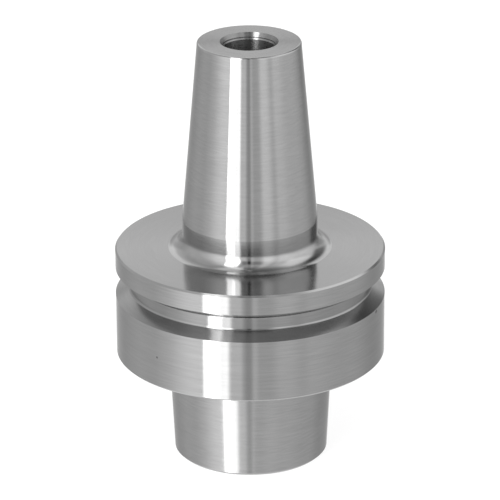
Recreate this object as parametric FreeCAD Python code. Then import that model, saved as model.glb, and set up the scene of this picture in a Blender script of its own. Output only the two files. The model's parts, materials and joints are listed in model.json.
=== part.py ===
"""Shrink fit holder with a hollow taper shank, and the length stop screw in its bore.

Millimetres. The Z axis is the spindle axis and points from the shank to the nose. The origin is the
centre of the contact face, the flat underside of the flange that seats on the spindle.
"""
import FreeCAD, Part
import math
import os

# Flange: contact face, collar, gripper groove and rim
flange_diameter = 63.0
flange_height = 26.0
rim_chamfer = 0.4
collar_chamfer = 0.4
contact_face_inner_diameter = 40.4

# Gripper groove round the flange
groove_centre_height = 18.0
groove_mouth_width = 6.7
groove_depth = 3.2
groove_flank_angle = 30.0
groove_corner_radius = 0.6

# Hollow taper shank, with an undercut where its taper meets the contact face
gauge_diameter = 38.009
gauge_plane_depth = 5.0
shank_length = 25.0
taper_per_length = 0.1
undercut_width = 1.4
undercut_depth = 0.25
undercut_face_depth = 0.3
shank_end_chamfer = 0.6

# Clamping chamber inside the shank
mouth_bore_diameter = 26.0
mouth_chamfer = 0.8
clamp_gauge_diameter = 29.0
clamp_gauge_depth = 14.13
clamp_shoulder_angle = 30.0
chamber_diameter = 32.0
chamber_end_depth = 7.5
pocket_diameter = 26.0
pocket_height = 2.0

# Nose cone, and the straight neck between its foot and the flange
nose_height = 76.0
nose_diameter = 24.0
nose_cone_angle = 5.0
nose_chamfer = 0.4
cone_foot_height = 33.0
base_fillet_radius = 3.5

# Bore for the cutting tool
shrink_bore_diameter = 12.0
shrink_bore_depth = 47.0
lead_in_diameter = 13.5
lead_in_foot_diameter = 12.4
lead_in_wall_height = 0.25
lead_in_angle = 30.0

# Tapped hole and stop screw, both at the thread's outer diameter
thread_diameter = 10.0
thread_clearance = 0.05
screw_length = 18.0
screw_end_chamfer = 0.7
screw_socket_width = 5.0
screw_socket_depth = 6.0
screw_coolant_diameter = 3.5

# Outline points nearer to each other than this are one point
join_tolerance = 1e-6


def tan(degrees):
    return math.tan(math.radians(degrees))


def corner_arc(before, corner, after, rounding):
    """Start, middle and end of the arc that rounds a corner, at most up to half of either side."""
    back = before - corner
    ahead = after - corner
    half_angle = back.getAngle(ahead) / 2
    reach = min(rounding / math.tan(half_angle), back.Length / 2, ahead.Length / 2)
    radius = reach * math.tan(half_angle)
    back.normalize()
    ahead.normalize()
    inward = (back + ahead).normalize()
    middle = corner + inward * (radius / math.sin(half_angle) - radius)
    return corner + back * reach, middle, corner + ahead * reach


def revolved(outline):
    """Turn a closed outline about the Z axis into a solid.

    Each corner is (radius, height), with a third value where it is rounded.
    """
    corners = [FreeCAD.Vector(corner[0], 0.0, corner[1]) for corner in outline]
    roundings = [corner[2] if len(corner) > 2 else 0.0 for corner in outline]
    after = corners[1:] + corners[:1]
    arcs = []
    for number, corner in enumerate(corners):
        arcs.append(corner_arc(corners[number - 1], corner, after[number], roundings[number]))
    edges = []
    for number, (start, middle, end) in enumerate(arcs):
        if not start.isEqual(arcs[number - 1][2], join_tolerance):
            edges.append(Part.makeLine(arcs[number - 1][2], start))
        if roundings[number]:
            edges.append(Part.Arc(start, middle, end).toShape())
    face = Part.Face(Part.Wire(edges))
    return face.revolve(FreeCAD.Vector(0, 0, 0), FreeCAD.Vector(0, 0, 1), 360)


def shank_radius(depth):
    """Radius of the ground taper at a depth below the contact face."""
    return (gauge_diameter + (gauge_plane_depth - depth) * taper_per_length) / 2


def cone_radius(height):
    """Radius of the nose cone at a height above the contact face."""
    return nose_diameter / 2 + (nose_height - height) * tan(nose_cone_angle)


def outside_blank():
    """Solid of revolution with the whole outer form of the holder, nose to shank end."""
    flange_radius = flange_diameter / 2
    groove_radius = flange_radius - groove_depth
    half_mouth = groove_mouth_width / 2
    half_floor = half_mouth - groove_depth * tan(groove_flank_angle)
    undercut_radius = shank_radius(0.0) - undercut_depth
    taper_start = undercut_width
    taper_end = shank_length - shank_end_chamfer
    chamfer_bottom = nose_height - nose_chamfer
    neck_radius = cone_radius(cone_foot_height)
    return revolved([
        (0.0, nose_height),
        (cone_radius(chamfer_bottom) - nose_chamfer, nose_height),
        (cone_radius(chamfer_bottom), chamfer_bottom),
        (neck_radius, cone_foot_height),
        (neck_radius, flange_height, base_fillet_radius),
        (flange_radius - rim_chamfer, flange_height),
        (flange_radius, flange_height - rim_chamfer),
        (flange_radius, groove_centre_height + half_mouth),
        (groove_radius, groove_centre_height + half_floor, groove_corner_radius),
        (groove_radius, groove_centre_height - half_floor, groove_corner_radius),
        (flange_radius, groove_centre_height - half_mouth),
        (flange_radius, collar_chamfer),
        (flange_radius - collar_chamfer, 0.0),
        (contact_face_inner_diameter / 2, 0.0),
        (undercut_radius, undercut_face_depth),
        (undercut_radius, undercut_depth - taper_start),
        (shank_radius(taper_start), -taper_start),
        (shank_radius(taper_end), -taper_end),
        (shank_radius(shank_length) - shank_end_chamfer, -shank_length),
        (0.0, -shank_length),
    ])


def clamping_chamber():
    """Space inside the hollow shank: mouth bore, clamping shoulder, chamber and pocket."""
    mouth_radius = mouth_bore_diameter / 2
    gauge_radius = clamp_gauge_diameter / 2
    chamber_radius = chamber_diameter / 2
    slope = tan(clamp_shoulder_angle)
    return revolved([
        (0.0, -shank_length),
        (mouth_radius + mouth_chamfer, -shank_length),
        (mouth_radius, mouth_chamfer - shank_length),
        (mouth_radius, -clamp_gauge_depth - (gauge_radius - mouth_radius) / slope),
        (chamber_radius, -clamp_gauge_depth + (chamber_radius - gauge_radius) / slope),
        (chamber_radius, -chamber_end_depth),
        (pocket_diameter / 2, -chamber_end_depth),
        (pocket_diameter / 2, pocket_height),
        (0.0, pocket_height),
    ])


def through_bore():
    """Space along the axis: lead-in, shrink bore and tapped hole, from the nose to the pocket.

    The lead-in is a cone, a short straight wall at its foot, and the broken edge of the bore.
    """
    bore_radius = shrink_bore_diameter / 2
    lead_radius = lead_in_diameter / 2
    foot_radius = lead_in_foot_diameter / 2
    slope = tan(lead_in_angle)
    tap_radius = thread_diameter / 2 + thread_clearance
    cone_foot = nose_height - (lead_radius - foot_radius) / slope
    wall_foot = cone_foot - lead_in_wall_height
    bore_floor = nose_height - shrink_bore_depth
    return revolved([
        (0.0, nose_height),
        (lead_radius, nose_height),
        (foot_radius, cone_foot),
        (foot_radius, wall_foot),
        (bore_radius, wall_foot - (foot_radius - bore_radius) / slope),
        (bore_radius, bore_floor),
        (tap_radius, bore_floor - (bore_radius - tap_radius)),
        (tap_radius, pocket_height),
        (0.0, pocket_height),
    ])


def chuck_body():
    """The holder itself, turned and ground from one bar."""
    return outside_blank().cut(clamping_chamber()).cut(through_bore()).Solids[0]


def hex_prism(width, low, high):
    """Upright hexagonal prism with this width across its flats."""
    corner = width / 2 / math.cos(math.radians(30))
    angles = [math.radians(60 * side) for side in range(6)]
    points = [FreeCAD.Vector(corner * math.cos(a), corner * math.sin(a), low) for a in angles]
    face = Part.Face(Part.makePolygon(points + points[:1]))
    return face.extrude(FreeCAD.Vector(0, 0, high - low))


def length_stop_screw():
    """Hollow set screw that the tool rests on, with its hex socket towards the shank."""
    top = nose_height - shrink_bore_depth
    low = top - screw_length
    radius = thread_diameter / 2
    rod = revolved([
        (0.0, top),
        (radius - screw_end_chamfer, top),
        (radius, top - screw_end_chamfer),
        (radius, low + screw_end_chamfer),
        (radius - screw_end_chamfer, low),
        (0.0, low),
    ])
    passage = Part.makeCylinder(screw_coolant_diameter / 2, screw_length, FreeCAD.Vector(0, 0, low))
    socket = hex_prism(screw_socket_width, low, low + screw_socket_depth)
    return rod.cut(passage).cut(socket).Solids[0]


def main():
    os.makedirs("parts", exist_ok=True)
    pieces = {"chuck_body": chuck_body(), "length_stop_screw": length_stop_screw()}
    for name, shape in pieces.items():
        shape.exportStep(os.path.join("parts", name + ".step"))
        print(name, "valid" if shape.isValid() else "not valid", round(shape.Volume, 1), "mm3")


main()
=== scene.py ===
"""Dresses the shrink fit holder: its turned and ground body, its threaded stop screw and the studio.

Metres, in the frame's own axes: Z runs up the spindle axis, from the shank's end to the nose.
"""
import json
import math

import bmesh
import bpy
from bpy.props import FloatProperty, FloatVectorProperty, IntProperty, PointerProperty
from mathutils import Matrix, Vector


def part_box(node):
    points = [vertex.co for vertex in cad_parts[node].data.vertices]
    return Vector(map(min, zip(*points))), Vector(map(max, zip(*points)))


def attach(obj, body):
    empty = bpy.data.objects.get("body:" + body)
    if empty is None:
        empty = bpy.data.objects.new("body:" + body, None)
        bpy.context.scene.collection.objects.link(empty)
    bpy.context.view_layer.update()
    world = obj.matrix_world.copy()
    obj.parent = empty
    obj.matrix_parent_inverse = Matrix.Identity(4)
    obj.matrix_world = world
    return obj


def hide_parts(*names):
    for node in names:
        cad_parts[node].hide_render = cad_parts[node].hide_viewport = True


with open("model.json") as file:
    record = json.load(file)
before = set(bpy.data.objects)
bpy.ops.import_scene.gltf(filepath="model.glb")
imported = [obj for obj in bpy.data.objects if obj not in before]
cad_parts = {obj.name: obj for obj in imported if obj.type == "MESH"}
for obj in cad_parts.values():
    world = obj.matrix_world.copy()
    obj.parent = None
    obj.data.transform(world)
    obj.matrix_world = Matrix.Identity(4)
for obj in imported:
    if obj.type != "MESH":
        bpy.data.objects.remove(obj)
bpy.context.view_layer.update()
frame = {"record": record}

bl_info = {
    "name": "Shrink fit holder",
    "version": (1, 0, 0),
    "blender": (4, 5, 0),
    "location": "View3D > Sidebar > Holder",
    "description": "Builds the shrink fit holder's finished pieces around its frame",
    "category": "Object",
}

BODY_LOW, BODY_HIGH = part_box("chuck_body")
SCREW_LOW, SCREW_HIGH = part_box("length_stop_screw")
MOUNTS = {mount["name"]: mount for mount in frame["record"]["mounts"]}
BORE_RADIUS = MOUNTS["tool_bore"]["dims"]["r_mm"] / 1000
MOUTH_RADIUS = MOUNTS["shank_mouth"]["dims"]["r_mm"] / 1000

# A face belongs to the wall that it lies this near to, and points up past this share of straight up
EDGE_TOLERANCE = 0.0001
UPWARD = 0.999

# The body's finishes, in the order of its material slots. The groove's slot holds a darker steel: painted
# shade for the shade in the gripper groove
TURNED, GROUND, INSIDE, PAINTED_SHADE_GROOVE, FACED = range(5)

# Edges are sharp past these angles. A rounding of 32 facets turns less than 3.5 degrees at each
BODY_SHARP_ANGLE = math.radians(3.5)
THREAD_SHARP_ANGLE = math.radians(24.0)

# A thread's ridge: its half widths in pitches, and the share of its height that it has at its very ends
RIDGE_ROOT = 0.44
RIDGE_CREST = 0.09
RIDGE_LEAST = 0.05

# How deep the ridge's root sits in its wall, and how far the screw's crests stay inside its size
RIDGE_SEAT = 0.00003
RIDGE_GAP = 0.00002

# The turns over which a thread runs out, and those by which the hole's thread ends below the bore
RUN_OUT_TURNS = 0.5
HOLE_TOP_TURNS = 1.9

# Turned lines: how often their tone changes in a radius round the axis, and how many lines a band holds
LINE_BREAKS = 4.0
BAND_BREAKS = 1.5
BAND_LINES = 9.0

# What a line adds to the roughness, a band's height beside a line's, and the least radius that has lines
LINE_ROUGHNESS = 0.06
BAND_HEIGHT = 0.5
AXIS_RADIUS = 0.0001

# A mark in the steel: where its soft edge begins, and its depth in line depths
MARK_CORE = 0.3
MARK_DEPTH = 20.0

# An angle past all that a direction can have, and the band that holds every angle
PAST_ALL = 181.0
ALL_ROUND = (-PAST_ALL - 1, -PAST_ALL, PAST_ALL, PAST_ALL + 1)

# The floor: half its width, and the share of white that the studio's light makes on it
FLOOR_REACH = 3.0
FLOOR_LIT = 0.6


def length(title, text, default):
    """A size in metres that a user may change."""
    return FloatProperty(
        name=title, description=text, default=default, min=0.0, precision=5,
        subtype="DISTANCE", unit="LENGTH",
    )


def angle(title, text, degrees):
    """An angle that a user may change."""
    return FloatProperty(
        name=title, description=text, default=math.radians(degrees), subtype="ANGLE", unit="ROTATION",
    )


def share(title, text, default, top=1.0):
    """A plain factor that a user may change."""
    return FloatProperty(name=title, description=text, default=default, min=0.0, max=top)


def colour(title, text, default):
    """A linear colour that a user may change."""
    return FloatVectorProperty(
        name=title, description=text, default=default, size=3, min=0.0, max=1.0, subtype="COLOR",
    )


class BodySizes(bpy.types.PropertyGroup):
    """Sizes of the turned body. Its width, its two ends and its bores' radii come from the frame."""

    flange_height: length("Flange height", "From the contact face to the rim's top face", 0.026)
    edge_chamfer: length("Edge chamfer", "Chamfer on the rim and on the collar", 0.0004)
    face_inner_radius: length("Face inner radius", "Where the contact face ends at its undercut", 0.0202)
    groove_height: length("Groove height", "From the contact face to the groove's middle", 0.018)
    groove_mouth: length("Groove mouth", "Width of the gripper groove at the flange's edge", 0.0067)
    groove_depth: length("Groove depth", "From the flange's edge to the groove's floor", 0.0032)
    groove_flank: angle("Groove flank", "Slope of the groove's flanks", 30.0)
    groove_corner: length("Groove corner", "Radius in the groove's two inner corners", 0.0006)
    gauge_radius: length("Gauge radius", "Radius of the taper at its gauge plane", 0.0190045)
    gauge_depth: length("Gauge depth", "From the contact face down to the gauge plane", 0.005)
    taper: share("Taper", "Change of the shank's diameter over its length", 0.1)
    undercut_width: length("Undercut width", "Height of the undercut at the taper's root", 0.0014)
    undercut_depth: length("Undercut depth", "Depth of the undercut into the taper", 0.00025)
    undercut_face: length("Undercut face depth", "Depth of the undercut into the flange", 0.0003)
    shank_chamfer: length("Shank chamfer", "Chamfer at the shank's end, outside", 0.0006)
    mouth_chamfer: length("Mouth chamfer", "Chamfer at the shank's end, inside", 0.0008)
    shoulder_low: length("Shoulder foot", "Depth where the clamping shoulder starts", 0.016728)
    shoulder_high: length("Shoulder head", "Depth where the clamping shoulder ends", 0.011532)
    chamber_radius: length("Chamber radius", "Radius of the clamping chamber", 0.016)
    chamber_end: length("Chamber end", "Depth of the clamping chamber's inner end", 0.0075)
    pocket_height: length("Pocket height", "Height of the pocket's floor above the contact face", 0.002)
    nose_radius: length("Nose radius", "Radius of the nose cone at the nose face", 0.012)
    nose_cone: angle("Nose cone", "Slope of the nose cone's side", 5.0)
    nose_edge: length("Nose edge", "Rounding of the nose cone's upper edge", 0.00045)
    cone_foot: length("Cone foot", "Height where the nose cone ends and the neck below it begins", 0.033)
    base_fillet: length("Base fillet", "Radius between the neck and the flange", 0.0035)
    bore_floor: length("Bore floor", "Height where the shrink bore meets the tapped hole", 0.029)
    lead_in_radius: length("Lead-in radius", "Radius of the lead-in cone at the nose face", 0.00675)
    lead_in_foot: length("Lead-in foot", "Radius of the straight wall below the lead-in cone", 0.0062)
    lead_in_angle: angle("Lead-in angle", "Slope of the lead-in cone and of the bore's edge", 30.0)
    lead_in_wall: length("Lead-in wall", "Height of the straight wall under the lead-in cone", 0.00025)
    tapped_radius: length("Tapped hole radius", "Radius of the tapped hole at its thread's roots", 0.00505)
    turn_steps: IntProperty(name="Turn steps", description="Facets round the axis", default=320, min=64)
    corner_steps: IntProperty(name="Corner steps", description="Facets in a rounding", default=32, min=28)


class ScrewSizes(bpy.types.PropertyGroup):
    """Sizes of the stop screw's thread, socket and coolant bore. Its length comes from the frame."""

    pitch: length("Pitch", "Rise of the thread in one turn", 0.001)
    thread_depth: length("Thread depth", "From the screw's crests to its roots", 0.00061)
    crest_radius: length("Hole crest radius", "Radius of the tapped hole's crests", 0.00446)
    end_chamfer: length("End chamfer", "Chamfer at both ends of the screw's core", 0.000175)
    socket_width: length("Socket width", "Across the flats of the hex socket", 0.005)
    socket_depth: length("Socket depth", "Depth of the hex socket", 0.006)
    coolant_radius: length("Coolant radius", "Radius of the coolant bore", 0.00175)
    thread_steps: IntProperty(name="Thread steps", description="Facets in one turn", default=48, min=16)


class FinishLook(bpy.types.PropertyGroup):
    """Colours and finish of the two steels."""

    steel: colour("Steel", "Bare turned and ground steel", (0.42, 0.42, 0.42))
    # The groove's darker colour is painted shade: the shade that falls in the gripper groove, put into the
    # steel's colour
    groove: colour("Groove steel", "Turned steel in the gripper groove", (0.34, 0.34, 0.34))
    # Darker than the turned steel, on the faces that point straight up: the flange's top and the nose face
    faced: colour("Faced steel", "Faced steel on the flange's top and on the nose", (0.34, 0.34, 0.34))
    bore: colour("Bore steel", "Honed and drilled steel inside", (0.3, 0.3, 0.3))
    oxide: colour("Black oxide", "The stop screw's blackened surface", (0.03, 0.03, 0.032))
    turned_roughness: share("Turned roughness", "Roughness of the turned surfaces", 0.14)
    ground_roughness: share("Ground roughness", "Roughness of the ground surfaces", 0.2)
    bore_roughness: share("Bore roughness", "Roughness of the surfaces inside", 0.28)
    line_tone: share("Line tone", "How much the turned lines differ in tone", 0.22)
    band_tone: share("Band tone", "How much the broad bands of lines differ in tone", 0.08)
    line_spacing: length("Line spacing", "Mean distance between the turned lines", 0.00034)
    line_depth: length("Line depth", "Depth of the turned lines", 0.0000012)


class StudioLook(bpy.types.PropertyGroup):
    """The studio round the holder. Angles run round the axis from the camera, right is positive."""

    lens: length("Lens", "The camera's focal length", 0.2622)
    distance: length("Distance", "From the camera to its aim point", 0.85)
    elevation: angle("Elevation", "The camera's height angle over the holder", 21.77)
    roll: angle("Roll", "The camera's turn about its own axis", -0.267)
    aim_height: length("Aim height", "The camera's aim point above the contact face", 0.0247)
    aim_side: FloatProperty(
        name="Aim side", description="The camera's aim point beside the axis",
        default=-0.000025, precision=6, subtype="DISTANCE", unit="LENGTH",
    )
    walls: share("Walls", "Level of the studio's side walls", 0.58, 4.0)
    ceiling: share("Ceiling", "Level straight above, as a share of the walls", 0.3)
    strip: share("Strip light", "Level of the tall strip light, left of the camera", 5.4, 20.0)
    backdrop: share("Backdrop", "Level of the white backdrop behind the holder", 1.0, 4.0)
    floor_shade: share("Floor shade", "Share of the floor's light that the holder's shadow takes", 0.3)


class Shade:
    """A shader socket that adds nodes when it is used in a sum, a product or a comparison."""

    def __init__(self, tree, socket):
        self.tree = tree
        self.socket = socket

    def node(self, kind, settings=None, **inputs):
        """A new node of this kind, its settings made first, then its sockets filled or linked."""
        made = self.tree.nodes.new(kind)
        for name, value in (settings or {}).items():
            setattr(made, name, value)
        for name, value in inputs.items():
            key = int(name[1:]) if name[0] == "i" and name[1:].isdigit() else name.replace("_", " ")
            if isinstance(value, Shade):
                self.tree.links.new(value.socket, made.inputs[key])
            else:
                made.inputs[key].default_value = value
        return made

    def from_node(self, kind, settings=None, output=0, **inputs):
        """One output of a new node, as a socket that goes on in the expression."""
        return Shade(self.tree, self.node(kind, settings, **inputs).outputs[output])

    def maths(self, operation, *values):
        inputs = {"i%d" % number: value for number, value in enumerate(values)}
        return self.from_node("ShaderNodeMath", {"operation": operation}, **inputs)

    def __add__(self, other):
        return self.maths("ADD", self, other)

    __radd__ = __add__

    def __sub__(self, other):
        return self.maths("SUBTRACT", self, other)

    def __rsub__(self, other):
        return self.maths("SUBTRACT", other, self)

    def __mul__(self, other):
        return self.maths("MULTIPLY", self, other)

    __rmul__ = __mul__

    def __truediv__(self, other):
        return self.maths("DIVIDE", self, other)

    def sqrt(self):
        return self.maths("SQRT", self)

    def abs(self):
        return self.maths("ABSOLUTE", self)

    def most(self, other):
        return self.maths("MAXIMUM", self, other)

    def least(self, other):
        return self.maths("MINIMUM", self, other)

    def ramp(self, start, end, low=0.0, high=1.0):
        """Smooth change from low to high as this value goes from start to end."""
        return self.from_node(
            "ShaderNodeMapRange", {"interpolation_type": "SMOOTHSTEP"},
            i0=self, i1=start, i2=end, i3=low, i4=high,
        )

    def band(self, start, full, fade, end):
        """One between full and fade, and smoothly down to zero at start and at end."""
        return self.ramp(start, full) * self.ramp(fade, end, 1.0, 0.0)

    def vector(self, x, y, z):
        return self.from_node("ShaderNodeCombineXYZ", i0=x, i1=y, i2=z)

    def split(self):
        """The three parts of a vector."""
        made = self.node("ShaderNodeSeparateXYZ", i0=self)
        return [Shade(self.tree, output) for output in made.outputs]

    def noise(self, detail=2.0, roughness=0.5):
        """Smooth noise from 0 to 1 at this vector."""
        return self.from_node(
            "ShaderNodeTexNoise", {"normalize": True},
            i0=self, Scale=1.0, Detail=detail, Roughness=roughness,
        )


def blank_tree(tree):
    """Empties a node tree and gives a maker of nodes for it."""
    tree.nodes.clear()
    return Shade(tree, None)


def tinted(maker, base, factor):
    """A colour times a number that changes over the surface."""
    made = maker.node("ShaderNodeVectorMath", {"operation": "SCALE"}, i0=tuple(base))
    maker.tree.links.new(factor.socket, made.inputs["Scale"])
    return Shade(maker.tree, made.outputs[0])


class Mark:
    """A small mark in the steel, at this height and this many degrees right of the front."""

    def __init__(self, height, side, across, tall, tone):
        self.height = height
        self.side = side
        self.across = across
        self.tall = tall
        self.tone = tone

    def seen(self, x, y, z):
        """One in the mark's middle, and zero past its edge."""
        side = math.radians(self.side)
        centre_x = BODY_HIGH.x * math.sin(side)
        centre_y = -BODY_HIGH.x * math.cos(side)
        wide = ((x - centre_x) * (x - centre_x) + (y - centre_y) * (y - centre_y)) / self.across ** 2
        high = (z - self.height) * (z - self.height) / self.tall ** 2
        return (wide + high).ramp(MARK_CORE, 1.0, 1.0, 0.0)


COLLAR_MARKS = (
    Mark(height=0.0075, side=-43.0, across=0.00035, tall=0.00035, tone=0.45),
    Mark(height=0.01406, side=67.5, across=0.0007, tall=0.0005, tone=0.4),
)


def steel_material(name, base, roughness, look, marks=(), streak=0.95):
    """Bare steel with fine lines round the axis, from the turning tool or the grinding wheel.

    Streak is how much more its reflections spread along the axis than round it.
    """
    material = bpy.data.materials.new(name)
    material.use_nodes = True
    maker = blank_tree(material.node_tree)
    x, y, z = maker.from_node("ShaderNodeTexCoord", output=3).split()
    radius = (x * x + y * y).sqrt().most(AXIS_RADIUS)
    ahead, beside = x / radius, y / radius
    lines = (z + radius) / look.line_spacing
    fine = maker.vector(ahead * LINE_BREAKS, beside * LINE_BREAKS, lines).noise(2.0, 0.6)
    broad = maker.vector(ahead * BAND_BREAKS, beside * BAND_BREAKS, lines / BAND_LINES).noise(2.0)
    tone = 1.0 + (fine - 0.5) * look.line_tone + (broad - 0.5) * look.band_tone
    height = fine + broad * BAND_HEIGHT
    for mark in marks:
        spot = mark.seen(x, y, z)
        tone = tone * (1.0 - spot * (1.0 - mark.tone))
        height = height - spot * MARK_DEPTH
    bump = maker.node("ShaderNodeBump", Strength=1.0, Distance=look.line_depth, Height=height)
    shader = maker.node(
        "ShaderNodeBsdfPrincipled", {}, Metallic=1.0, Roughness=roughness + (fine - 0.5) * LINE_ROUGHNESS,
        Anisotropic=streak, Anisotropic_Rotation=0.25, Base_Color=tinted(maker, base, tone),
    )
    maker.tree.links.new(bump.outputs[0], shader.inputs["Normal"])
    out = maker.node("ShaderNodeOutputMaterial")
    maker.tree.links.new(shader.outputs[0], out.inputs[0])
    return material


def oxide_material(name, look):
    """Black oxide on the stop screw, rubbed a little lighter where it wears."""
    material = bpy.data.materials.new(name)
    material.use_nodes = True
    maker = blank_tree(material.node_tree)
    place = maker.from_node("ShaderNodeTexCoord", output=3)
    cloud = maker.from_node("ShaderNodeVectorMath", {"operation": "SCALE"}, i0=place, Scale=900.0).noise(4.0)
    shader = maker.node(
        "ShaderNodeBsdfPrincipled", {}, Metallic=0.9, Roughness=cloud.ramp(0.3, 0.7, 0.32, 0.48),
        Base_Color=tinted(maker, look.oxide, cloud.ramp(0.3, 0.75, 0.7, 1.8)),
    )
    out = maker.node("ShaderNodeOutputMaterial")
    maker.tree.links.new(shader.outputs[0], out.inputs[0])
    return material


def round_corner(mesh, vertex, radius, steps):
    """Rounds one corner of an outline to a radius."""
    sides = [edge.other_vert(vertex).co - vertex.co for edge in vertex.link_edges]
    half_angle = sides[0].angle(sides[1]) / 2
    bmesh.ops.bevel(
        mesh, geom=[vertex], offset=radius / math.tan(half_angle), offset_type="OFFSET",
        segments=steps, profile=0.5, affect="VERTICES", material=-1, clamp_overlap=False,
    )


def outline(mesh, corners, steps=1, closed=True):
    """An outline through (radius, height) corners in the XZ plane, rounded where a third value says."""
    vertices = [mesh.verts.new((corner[0], 0.0, corner[1])) for corner in corners]
    ends = vertices[1:] + vertices[:1] if closed else vertices[1:]
    for start, end in zip(vertices, ends):
        mesh.edges.new((start, end))
    for vertex, corner in zip(vertices, corners):
        if len(corner) > 2:
            round_corner(mesh, vertex, corner[2], steps)


def turn(mesh, steps):
    """Turns all that is in the mesh once round the Z axis."""
    bmesh.ops.spin(
        mesh, geom=mesh.verts[:] + mesh.edges[:], cent=(0, 0, 0), axis=(0, 0, 1), dvec=(0, 0, 0),
        angle=2 * math.pi, steps=steps, use_merge=True,
    )


def finished(mesh, name, materials, sharp_angle):
    """Closes a bmesh into a shown object, with its normals outward and its sharp edges marked."""
    bmesh.ops.remove_doubles(mesh, verts=mesh.verts[:], dist=1e-7)
    bmesh.ops.recalc_face_normals(mesh, faces=mesh.faces[:])
    data = bpy.data.meshes.new(name)
    mesh.to_mesh(data)
    mesh.free()
    for material in materials:
        data.materials.append(material)
    data.shade_smooth()
    data.set_sharp_from_angle(angle=sharp_angle)
    made = bpy.data.objects.new(name, data)
    bpy.context.scene.collection.objects.link(made)
    weighted = made.modifiers.new("Even shading", "WEIGHTED_NORMAL")
    weighted.keep_sharp = True
    return made


def body_corners(sizes):
    """The body's outline, from the nose down the outside and back up the inside."""
    nose = BODY_HIGH.z
    end = BODY_LOW.z
    flange = BODY_HIGH.x
    cone = math.tan(sizes.nose_cone)
    neck_radius = sizes.nose_radius + (nose - sizes.cone_foot) * cone
    half_mouth = sizes.groove_mouth / 2
    half_floor = half_mouth - sizes.groove_depth * math.tan(sizes.groove_flank)
    root = sizes.gauge_radius + sizes.gauge_depth * sizes.taper / 2
    taper_top = root - sizes.undercut_width * sizes.taper / 2
    undercut = root - sizes.undercut_depth
    tip = root + (end + sizes.shank_chamfer) * sizes.taper / 2
    lead_in_foot = nose - (sizes.lead_in_radius - sizes.lead_in_foot) / math.tan(sizes.lead_in_angle)
    wall_foot = lead_in_foot - sizes.lead_in_wall
    bore_top = wall_foot - (sizes.lead_in_foot - BORE_RADIUS) / math.tan(sizes.lead_in_angle)
    edge = sizes.edge_chamfer
    return [
        (sizes.nose_radius, nose, sizes.nose_edge),
        (neck_radius, sizes.cone_foot),
        (neck_radius, sizes.flange_height, sizes.base_fillet),
        (flange - edge, sizes.flange_height),
        (flange, sizes.flange_height - edge),
        (flange, sizes.groove_height + half_mouth),
        (flange - sizes.groove_depth, sizes.groove_height + half_floor, sizes.groove_corner),
        (flange - sizes.groove_depth, sizes.groove_height - half_floor, sizes.groove_corner),
        (flange, sizes.groove_height - half_mouth),
        (flange, edge),
        (flange - edge, 0.0),
        (sizes.face_inner_radius, 0.0),
        (undercut, sizes.undercut_face),
        (undercut, sizes.undercut_depth - sizes.undercut_width),
        (taper_top, -sizes.undercut_width),
        (tip, end + sizes.shank_chamfer),
        (tip - sizes.shank_chamfer, end),
        (MOUTH_RADIUS + sizes.mouth_chamfer, end),
        (MOUTH_RADIUS, end + sizes.mouth_chamfer),
        (MOUTH_RADIUS, -sizes.shoulder_low),
        (sizes.chamber_radius, -sizes.shoulder_high),
        (sizes.chamber_radius, -sizes.chamber_end),
        (MOUTH_RADIUS, -sizes.chamber_end),
        (MOUTH_RADIUS, sizes.pocket_height),
        (sizes.tapped_radius, sizes.pocket_height),
        (sizes.tapped_radius, sizes.bore_floor - (BORE_RADIUS - sizes.tapped_radius)),
        (BORE_RADIUS, sizes.bore_floor),
        (BORE_RADIUS, bore_top),
        (sizes.lead_in_foot, wall_foot),
        (sizes.lead_in_foot, lead_in_foot),
        (sizes.lead_in_radius, nose),
    ]


def is_inside(face, sizes):
    """True for the faces of the bores, the chamber and the pocket."""
    centre = face.calc_center_median()
    radius = math.hypot(centre.x, centre.y)
    if centre.z > sizes.pocket_height:
        return radius < sizes.lead_in_radius and face.normal.z < UPWARD
    return radius < sizes.chamber_radius + EDGE_TOLERANCE and centre.z > BODY_LOW.z + EDGE_TOLERANCE


def is_groove(face, sizes):
    """True for the faces of the gripper groove."""
    centre = face.calc_center_median()
    in_height = abs(centre.z - sizes.groove_height) < sizes.groove_mouth / 2
    return in_height and math.hypot(centre.x, centre.y) < BODY_HIGH.x - EDGE_TOLERANCE


def is_ground(face, sizes):
    """True for the faces of the taper, the contact face and their undercut."""
    centre = face.calc_center_median()
    radius = math.hypot(centre.x, centre.y)
    return centre.z < sizes.undercut_face and radius < BODY_HIGH.x - sizes.edge_chamfer


def face_finish(face, sizes):
    """The finish that a face of the body has."""
    if is_inside(face, sizes):
        return INSIDE
    if is_ground(face, sizes):
        return GROUND
    if is_groove(face, sizes):
        # The groove's faces get the darker steel, painted shade for the groove's hollow
        return PAINTED_SHADE_GROOVE
    return FACED if face.normal.z > UPWARD else TURNED


class HOLDER_OT_chuck_body(bpy.types.Operator):
    """Turn the holder's body and give its surfaces their finish"""

    bl_idname = "holder.chuck_body"
    bl_label = "Chuck body"

    def execute(self, context):
        sizes = context.scene.holder_body
        look = context.scene.holder_finish
        mesh = bmesh.new()
        outline(mesh, body_corners(sizes), sizes.corner_steps)
        turn(mesh, sizes.turn_steps)
        mesh.normal_update()
        for face in mesh.faces:
            face.material_index = face_finish(face, sizes)
        materials = [
            steel_material("turned_steel", look.steel, look.turned_roughness, look, COLLAR_MARKS),
            steel_material("ground_taper_steel", look.steel, look.ground_roughness, look, streak=0.8),
            steel_material("bore_steel", look.bore, look.bore_roughness, look, streak=1.0),
            # Darker steel with painted shade for the shade in the gripper groove
            steel_material("groove_steel_painted_shade", look.groove, look.turned_roughness, look),
            # The faces that point straight up get a darker steel colour than the turned faces
            steel_material("faced_steel", look.faced, look.turned_roughness, look, streak=0.8),
        ]
        body = finished(mesh, "turned_body", materials, BODY_SHARP_ANGLE)
        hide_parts("chuck_body")
        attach(body, "holder")
        return {"FINISHED"}


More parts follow.
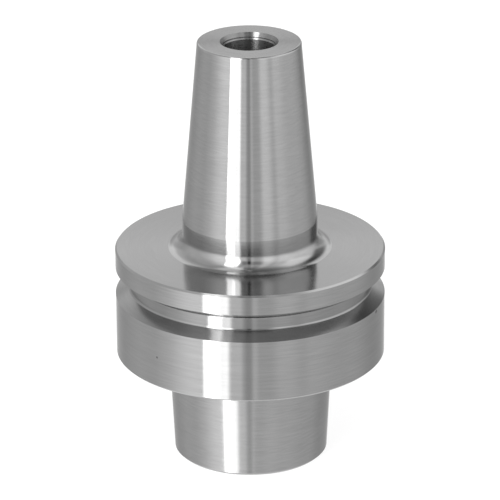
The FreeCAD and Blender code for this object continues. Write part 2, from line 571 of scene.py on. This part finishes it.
def thread_ridge(mesh, root, crest, pitch, low, high, steps):
    """A helical ridge from its root radius to its crest radius, which runs out at both ends."""
    half_root = pitch * RIDGE_ROOT
    half_crest = pitch * RIDGE_CREST
    section = [(root, -half_root), (root, half_root), (crest, half_crest), (crest, -half_crest)]
    others = set(mesh.verts)
    face = mesh.faces.new([mesh.verts.new((radius, 0.0, low + side)) for radius, side in section])
    count = int((high - low) / pitch * steps)
    bmesh.ops.spin(
        mesh, geom=[face], cent=(0, 0, 0), axis=(0, 0, 1), dvec=(0, 0, pitch / steps),
        angle=2 * math.pi * count / steps, steps=count,
    )
    for vertex in mesh.verts:
        radius = vertex.co.xy.length
        if vertex in others or abs(radius - root) < abs(radius - crest):
            continue
        turns_left = min(vertex.co.z - low, high - vertex.co.z) / pitch
        height = min(max(turns_left / RUN_OUT_TURNS, RIDGE_LEAST), 1.0)
        vertex.co.xy *= (root + (crest - root) * height) / radius


class HOLDER_OT_tapped_thread(bpy.types.Operator):
    """Cut the thread of the tapped hole"""

    bl_idname = "holder.tapped_thread"
    bl_label = "Tapped hole thread"

    def execute(self, context):
        body = context.scene.holder_body
        screw = context.scene.holder_screw
        look = context.scene.holder_finish
        low = body.pocket_height + screw.pitch
        high = body.bore_floor - HOLE_TOP_TURNS * screw.pitch
        wall = body.tapped_radius + RIDGE_SEAT
        mesh = bmesh.new()
        thread_ridge(mesh, wall, screw.crest_radius, screw.pitch, low, high, screw.thread_steps)
        steel = steel_material("tapped_steel", look.bore, look.bore_roughness, look)
        thread = finished(mesh, "tapped_hole_thread", [steel], THREAD_SHARP_ANGLE)
        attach(thread, "holder")
        return {"FINISHED"}


class HOLDER_OT_stop_screw(bpy.types.Operator):
    """Make the hollow stop screw with its thread and its hex socket"""

    bl_idname = "holder.stop_screw"
    bl_label = "Stop screw"

    def execute(self, context):
        screw = context.scene.holder_screw
        look = context.scene.holder_finish
        low, high = SCREW_LOW.z, SCREW_HIGH.z
        core = SCREW_HIGH.x - screw.thread_depth
        chamfer = screw.end_chamfer
        mesh = bmesh.new()
        outline(mesh, [
            (screw.coolant_radius, low + screw.socket_depth),
            (screw.coolant_radius, high),
            (core - chamfer, high),
            (core, high - chamfer),
            (core, low + chamfer),
            (core - chamfer, low),
        ], closed=False)
        turn(mesh, screw.thread_steps)
        rims = [edge for edge in mesh.edges if edge.is_boundary]
        upper = [edge for edge in rims if edge.verts[0].co.z > low + screw.socket_depth / 2]
        lower = [edge for edge in rims if edge not in upper]
        hexagon = bmesh.ops.create_circle(
            mesh, segments=6, radius=screw.socket_width / math.sqrt(3), cap_ends=False,
            matrix=Matrix.Translation((0, 0, low)),
        )["verts"]
        mouth = list({edge for vertex in hexagon for edge in vertex.link_edges})
        sides = bmesh.ops.extrude_edge_only(mesh, edges=mouth)["geom"]
        deep = [item for item in sides if isinstance(item, bmesh.types.BMVert)]
        bmesh.ops.translate(mesh, verts=deep, vec=(0, 0, screw.socket_depth))
        open_edges = [edge for edge in mesh.edges if edge.is_boundary]
        floor = [edge for edge in open_edges if all(vertex in deep for vertex in edge.verts)]
        bmesh.ops.bridge_loops(mesh, edges=mouth + lower)
        bmesh.ops.bridge_loops(mesh, edges=floor + upper)
        thread_ridge(
            mesh, core - RIDGE_SEAT, SCREW_HIGH.x - RIDGE_GAP, screw.pitch, low + screw.pitch,
            high - screw.pitch, screw.thread_steps,
        )
        oxide = oxide_material("black_oxide", look)
        made = finished(mesh, "threaded_stop_screw", [oxide], THREAD_SHARP_ANGLE)
        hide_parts("length_stop_screw")
        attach(made, "stop_screw")
        return {"FINISHED"}


def place_camera(studio):
    """The camera that the photograph was taken with."""
    lift = studio.elevation
    back = Vector((0, -math.cos(lift), math.sin(lift)))
    right = Vector((1, 0, 0))
    up = back.cross(right)
    side = math.cos(studio.roll) * right + math.sin(studio.roll) * up
    above = math.cos(studio.roll) * up - math.sin(studio.roll) * right
    aim = Vector((studio.aim_side, 0, studio.aim_height))
    turned = Matrix((side, above, back)).transposed().to_4x4()
    data = bpy.data.cameras.new("photo_camera")
    data.lens = studio.lens * 1000
    data.sensor_width = 36.0
    data.clip_end = 20.0
    camera = bpy.data.objects.new("photo_camera", data)
    camera.matrix_world = Matrix.Translation(aim + back * studio.distance) @ turned
    bpy.context.scene.collection.objects.link(camera)
    bpy.context.scene.camera = camera


def up_to(fade, end):
    """A band of angles from the least one up to here, where it fades out."""
    return (-PAST_ALL - 1, -PAST_ALL, fade, end)


def onward(start, full):
    """A band of angles that begins here and goes on to the greatest one."""
    return (start, full, PAST_ALL, PAST_ALL + 1)


class Patch:
    """A soft patch on the studio's walls that is lighter than they are, or darker below zero.

    Side and rise are bands of degrees: where it starts, is full, begins to fade and ends. Side runs round
    the axis from the camera, with the right positive, and rise runs up.
    """

    def __init__(self, name, level, side=ALL_ROUND, rise=ALL_ROUND):
        self.name = name
        self.level = level
        self.side = side
        self.rise = rise

    def seen(self, side, rise):
        """What the patch adds to the walls in each direction."""
        added = side.band(*self.side) * rise.band(*self.rise) * self.level
        added.socket.node.label = self.name
        return added


PATCHES = (
    Patch("left card", 0.594, (-93, -47, -44, -38), up_to(46, 66)),
    Patch("left card's top", 0.066, (-93, -47, -44, -38)),
    Patch("left wall", 0.08, (-128, -108, -85, -70)),
    Patch("beside the strip light", 0.34, (-24, -16, -9, -5), up_to(5, 20)),
    Patch("front box", 0.16, (1, 3, 4, 8)),
    Patch("front wall", 0.08, (-30, 5, 40, 90)),
    Patch("near right box", 0.36, (16, 26, 31, 48), onward(-30, -10)),
    Patch("far right box", 0.26, (42, 54, 62, 80), onward(-30, -10)),
    Patch("right wall", 0.18, (64, 80, 112, 135), onward(-30, -10)),
    Patch("right wall's middle", 0.22, onward(10, 25), (-14, 0, 12, 50)),
    Patch("right wall's top", 0.5, (60, 80, 120, 136), (24, 36, 58, 70)),
    Patch("far floor", 0.04, rise=up_to(-42, -22)),
    Patch("near floor", 0.4, rise=up_to(-41, -33)),
    Patch("top of the back, right", 0.25, onward(150, 162), (12, 22, 60, 75)),
    Patch("top of the back, left", 0.25, up_to(-162, -150), (12, 22, 60, 75)),
    Patch("top of the back's left end", 0.2, up_to(-150, -120), (12, 22, 60, 75)),
    Patch("front gap", -0.14, (-5.5, -2.8, -0.2, 2.0)),
    Patch("front gap's upper part", -0.22, (-5, -2.8, 0, 1.8), (-4, 3, 34, 44)),
    Patch("over the front gap", -0.33, (-18, -10, 18, 30), (14, 26, 40, 50)),
    Patch("right corner", -0.13, (96, 125, 150, 168)),
    Patch("right corner's low part", -0.3, (125, 142, 158, 170), (-18, -10, 2, 14)),
    Patch("right corner's high part", -0.42, (118, 132, 154, 166), (8, 18, 40, 54)),
    Patch("left corner", -0.08, (-168, -150, -140, -122)),
)


def wall_light(side, rise, studio):
    """The walls with their patches, a little lighter at mid height, and the darker ceiling."""
    level = studio.walls
    for patch in PATCHES:
        level = level + patch.seen(side, rise)
    return level * (rise.band(-14, 8, 24, 44) * 0.18 + rise.ramp(52, 82, 1.0, studio.ceiling))


def strip_light(side, rise, studio):
    """What the strip light adds: a bright core and a softer right edge, both leaning left above."""
    lean = rise.ramp(25, 75, 0.0, 24.0)
    left = side + lean
    right = side + lean * 0.65 + rise.ramp(-27, -20, 2.0, 0.0) + rise.ramp(-12, 20, 1.0, 0.0)
    reach = rise.ramp(50, 62, 1.0, 0.12)
    core = left.ramp(-41.7, -38) * right.ramp(-28, -25, 1.0, 0.0) * reach
    edge = right.band(-32, -27, -18.5, -14.5) * rise.ramp(-10, 22, 1.7, 3.6) * reach
    return core * (studio.strip - studio.walls) + edge


def overhead_bar(x, z, rise):
    """A short light bar overhead, left of the axis. Its place is measured on a plane above the holder."""
    across = x / z.most(0.5)
    return across.band(-0.45, -0.36, -0.15, -0.09) * rise.ramp(58, 70) * 0.7


def light_studio(studio):
    """The light that comes from each direction, and the white backdrop that the camera sees."""
    world = bpy.data.worlds.new("studio")
    world.use_nodes = True
    bpy.context.scene.world = world
    maker = blank_tree(world.node_tree)
    x, y, z = maker.from_node("ShaderNodeTexCoord", output=0).split()
    side = maker.maths("ARCTAN2", x, 0.0 - y) * math.degrees(1.0)
    rise = maker.maths("ARCSINE", z) * math.degrees(1.0)
    sides = wall_light(side, rise, studio) + strip_light(side, rise, studio) + overhead_bar(x, z, rise)
    behind = side.abs().ramp(164, 175)
    screen = rise.ramp(17.5, 21.5, 0.52, 1.08).most(rise.ramp(-10, 0, 1.0, 0.0))
    scene = sides * (1.0 - behind) + behind * studio.backdrop * screen
    path = maker.node("ShaderNodeLightPath")
    is_camera = Shade(maker.tree, path.outputs["Is Camera Ray"])
    is_glossy = Shade(maker.tree, path.outputs["Is Glossy Ray"])
    is_transmitted = Shade(maker.tree, path.outputs["Is Transmission Ray"])
    seen = (is_camera + is_transmitted + is_glossy * behind).least(1.0)
    level = scene * (1.0 - seen) + seen * studio.backdrop * (is_glossy * screen + (1.0 - is_glossy))
    sky = maker.node("ShaderNodeBackground", Color=(1.0, 1.0, 1.0, 1.0), Strength=level)
    out = maker.node("ShaderNodeOutputWorld")
    maker.tree.links.new(sky.outputs[0], out.inputs[0])


def pale_floor(studio):
    """A white floor that the shank's end stands on. It keeps a faint shadow, and is open from below."""
    mesh = bmesh.new()
    bmesh.ops.create_grid(mesh, x_segments=8, y_segments=8, size=FLOOR_REACH)
    bmesh.ops.translate(mesh, verts=mesh.verts[:], vec=(0, 0, BODY_LOW.z))
    data = bpy.data.meshes.new("pale_floor")
    mesh.to_mesh(data)
    mesh.free()
    floor = bpy.data.objects.new("pale_floor", data)
    bpy.context.scene.collection.objects.link(floor)
    material = bpy.data.materials.new("pale_floor")
    material.use_nodes = True
    maker = blank_tree(material.node_tree)
    path = maker.node("ShaderNodeLightPath")
    is_camera = Shade(maker.tree, path.outputs["Is Camera Ray"])
    shaded = maker.from_node("ShaderNodeBsdfDiffuse", Color=(studio.floor_shade,) * 3 + (1.0,))
    glow = maker.from_node("ShaderNodeEmission", Strength=is_camera * (1.0 - studio.floor_shade * FLOOR_LIT))
    both = maker.from_node("ShaderNodeAddShader", i0=shaded, i1=glow)
    clear = maker.from_node("ShaderNodeBsdfTransparent")
    geometry = maker.node("ShaderNodeNewGeometry")
    under = Shade(maker.tree, geometry.outputs["Backfacing"])
    mixed = maker.node("ShaderNodeMixShader", i0=under, i1=both, i2=clear)
    out = maker.node("ShaderNodeOutputMaterial")
    maker.tree.links.new(mixed.outputs[0], out.inputs[0])
    data.materials.append(material)
    floor.visible_glossy = False


class HOLDER_OT_studio(bpy.types.Operator):
    """Set up the floor, the light and the camera"""

    bl_idname = "holder.studio"
    bl_label = "Studio"

    def execute(self, context):
        studio = context.scene.holder_studio
        place_camera(studio)
        light_studio(studio)
        pale_floor(studio)
        context.scene.view_settings.view_transform = "Standard"
        return {"FINISHED"}


class HOLDER_PT_panel(bpy.types.Panel):
    """Lists the holder's pieces and its studio"""

    bl_idname = "HOLDER_PT_panel"
    bl_label = "Shrink fit holder"
    bl_space_type = "VIEW_3D"
    bl_region_type = "UI"
    bl_category = "Holder"

    def draw(self, context):
        for operator in OPERATORS:
            self.layout.operator(operator.bl_idname)
        for group in ("holder_body", "holder_screw", "holder_finish", "holder_studio"):
            column = self.layout.column()
            settings = getattr(context.scene, group)
            for name in settings.bl_rna.properties.keys():
                if name not in ("rna_type", "name"):
                    column.prop(settings, name)


OPERATORS = (HOLDER_OT_chuck_body, HOLDER_OT_tapped_thread, HOLDER_OT_stop_screw, HOLDER_OT_studio)
GROUPS = {
    "holder_body": BodySizes,
    "holder_screw": ScrewSizes,
    "holder_finish": FinishLook,
    "holder_studio": StudioLook,
}
CLASSES = tuple(GROUPS.values()) + OPERATORS + (HOLDER_PT_panel,)


def register():
    for item in CLASSES:
        bpy.utils.register_class(item)
    for name, group in GROUPS.items():
        setattr(bpy.types.Scene, name, PointerProperty(type=group))


def unregister():
    for name in GROUPS:
        delattr(bpy.types.Scene, name)
    for item in reversed(CLASSES):
        bpy.utils.unregister_class(item)


def main():
    register()
    bpy.ops.holder.chuck_body()
    bpy.ops.holder.tapped_thread()
    bpy.ops.holder.stop_screw()
    bpy.ops.holder.studio()


if __name__ == "__main__":
    main()
